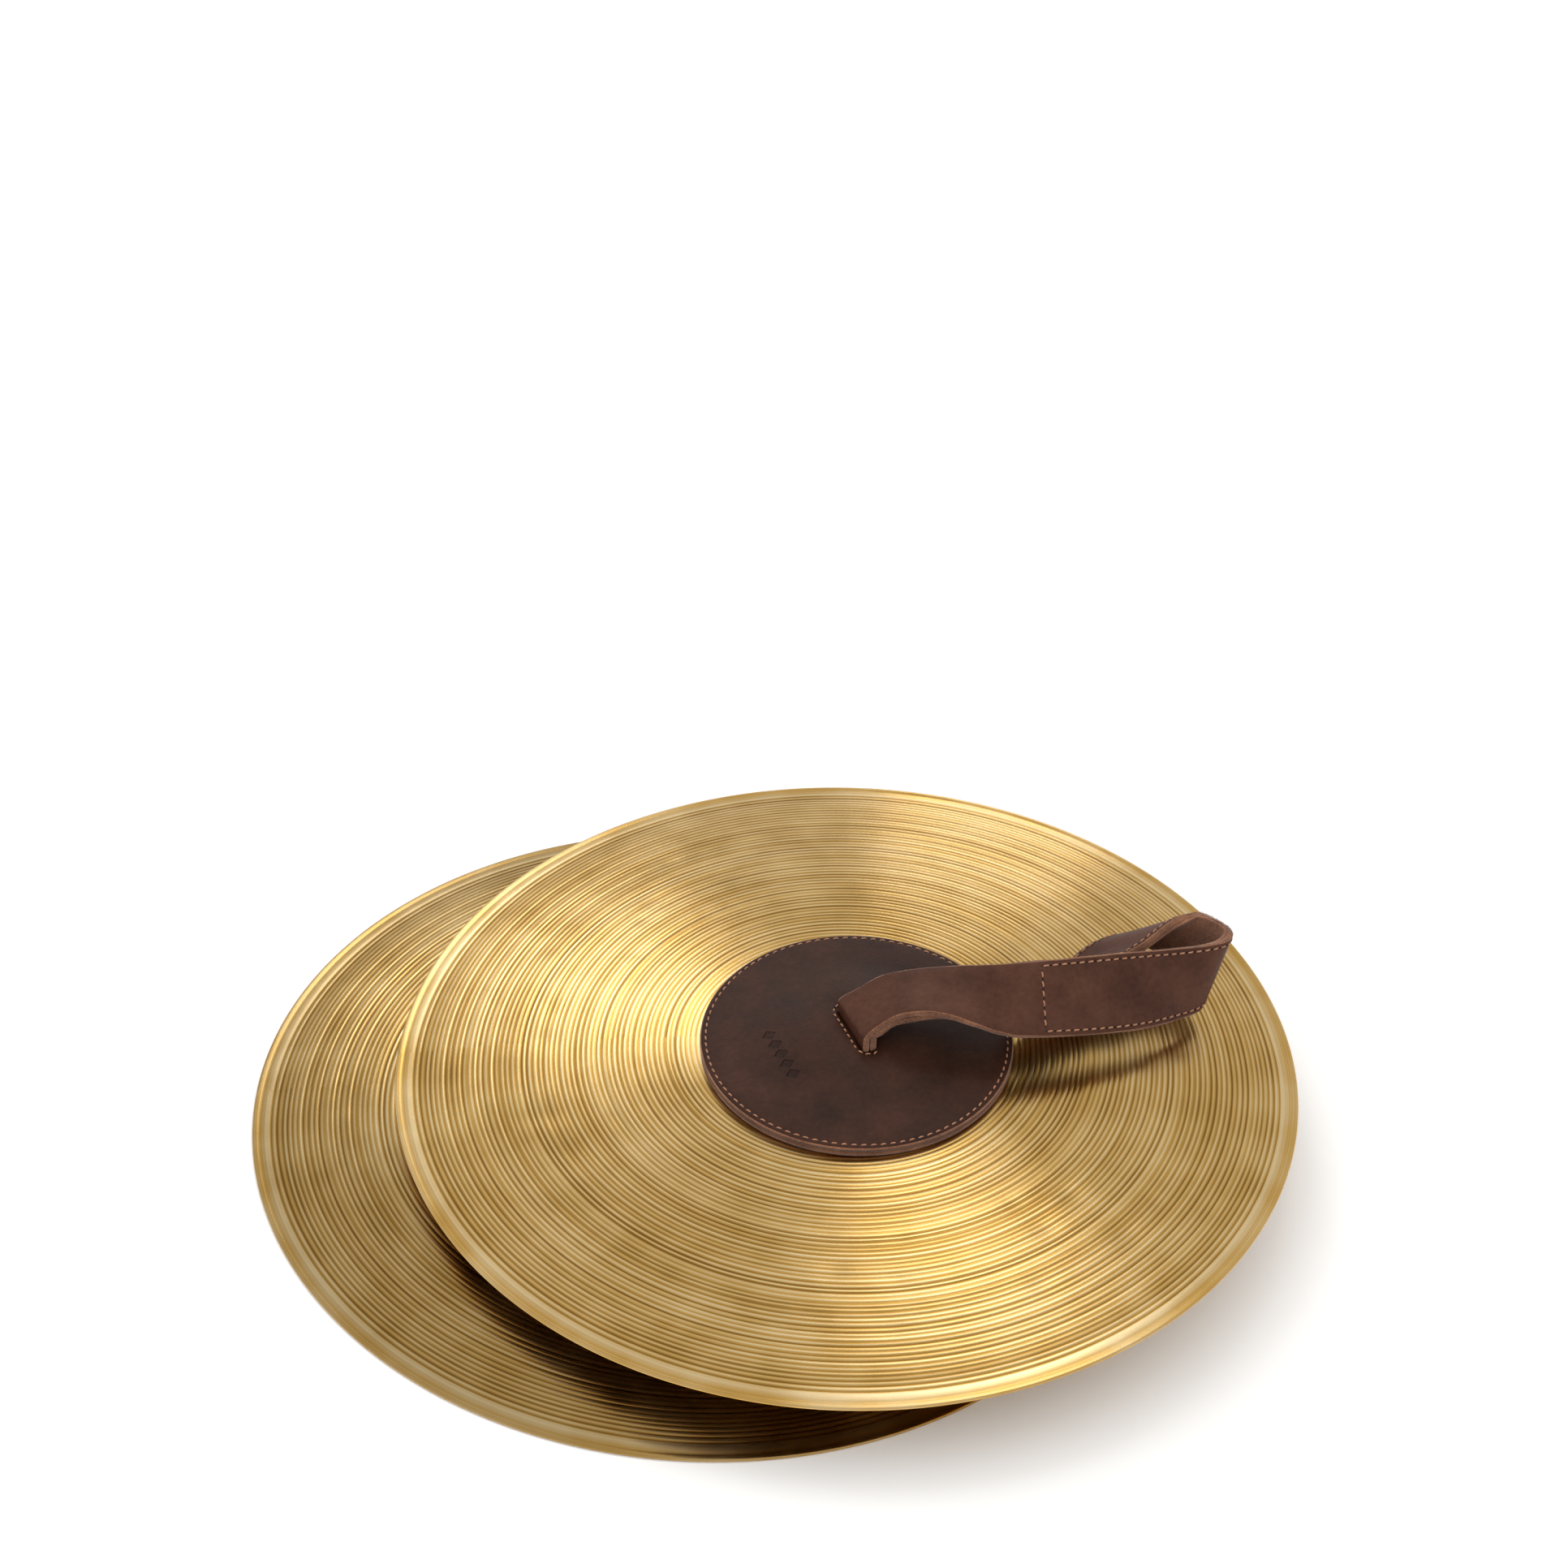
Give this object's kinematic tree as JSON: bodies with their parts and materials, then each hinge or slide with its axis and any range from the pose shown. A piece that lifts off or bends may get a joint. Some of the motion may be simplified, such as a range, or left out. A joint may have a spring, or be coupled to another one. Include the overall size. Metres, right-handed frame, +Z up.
{
  "type": "hand cymbals",
  "caption": "Pair of bronze orchestral hand cymbals lying bell up one on the other, each with a round stitched leather pad and a looped leather hand strap.",
  "frame": {"origin": "centre of the stack's footprint, on the surface that the lower rim rests on", "axes": "+X towards the side that the upper cymbal is shifted to, +Z up along the lower cymbal's axis"},
  "size_m": [0.4698, 0.4123, 0.0926],
  "materials": {
    "bronze": "hammered and lathed in fine concentric grooves, polished and lacquered",
    "top_leather": "smooth waxed dark brown leather",
    "strap_leather": "waxed dark brown leather with a fine pebble grain and raw tan edges",
    "suede": "brown suede",
    "felt": "pressed wool felt",
    "thread": "waxed copper-tan thread"
  },
  "bodies": {
    "lower_cymbal": {"lower_plate": "bronze"},
    "lower_pad": {"lower_pad_base": "suede", "lower_pad_felt": "felt", "lower_pad_cover": "top_leather", "lower_pad_seam": "thread", "lower_slot_seam": "thread", "lower_strap_tails": "strap_leather", "lower_strap_knot": "strap_leather"},
    "lower_strap": {"lower_strap": "strap_leather", "lower_grip_lining": "suede", "lower_grip_seam": "thread"},
    "upper_cymbal": {"upper_plate": "bronze"},
    "upper_pad": {"upper_pad_base": "suede", "upper_pad_felt": "felt", "upper_pad_cover": "top_leather", "upper_pad_seam": "thread", "upper_slot_seam": "thread", "upper_strap_tails": "strap_leather", "upper_strap_knot": "strap_leather"},
    "upper_strap": {"upper_strap": "strap_leather", "upper_grip_lining": "suede", "upper_grip_seam": "thread"}
  },
  "joints": [
    {"name": "upper_lift", "type": "slide", "parent": "lower_cymbal", "child": "upper_cymbal", "axis": [0, 0, 1], "range_m": [0, 0.3]},
    {"name": "lower_pad_turn", "type": "hinge", "parent": "lower_cymbal", "child": "lower_pad", "pos_m": [-0.0318, -0.00295, 0.025], "axis": [0, 0, 1], "range_deg": [-10, 10]},
    {"name": "lower_strap_swing", "type": "hinge", "parent": "lower_pad", "child": "lower_strap", "pos_m": [-0.0278, -0.00595, 0.03565], "axis": [0.4384, -0.8988, 0], "range_deg": [0, 80]},
    {"name": "upper_pad_turn", "type": "hinge", "parent": "upper_cymbal", "child": "upper_pad", "pos_m": [0.03097, 0.00295, 0.05558], "axis": [-0.0359, 0, 0.9994], "continuous": true},
    {"name": "upper_strap_swing", "type": "hinge", "parent": "upper_pad", "child": "upper_strap", "pos_m": [0.03458, -0.00005, 0.06637], "axis": [0.4381, -0.8988, 0.0158], "range_deg": [0, 80]}
  ],
  "couplings": [
    {"joint": "lower_strap_swing", "follows": "upper_lift", "rad_per_m": 4.654}
  ]
}
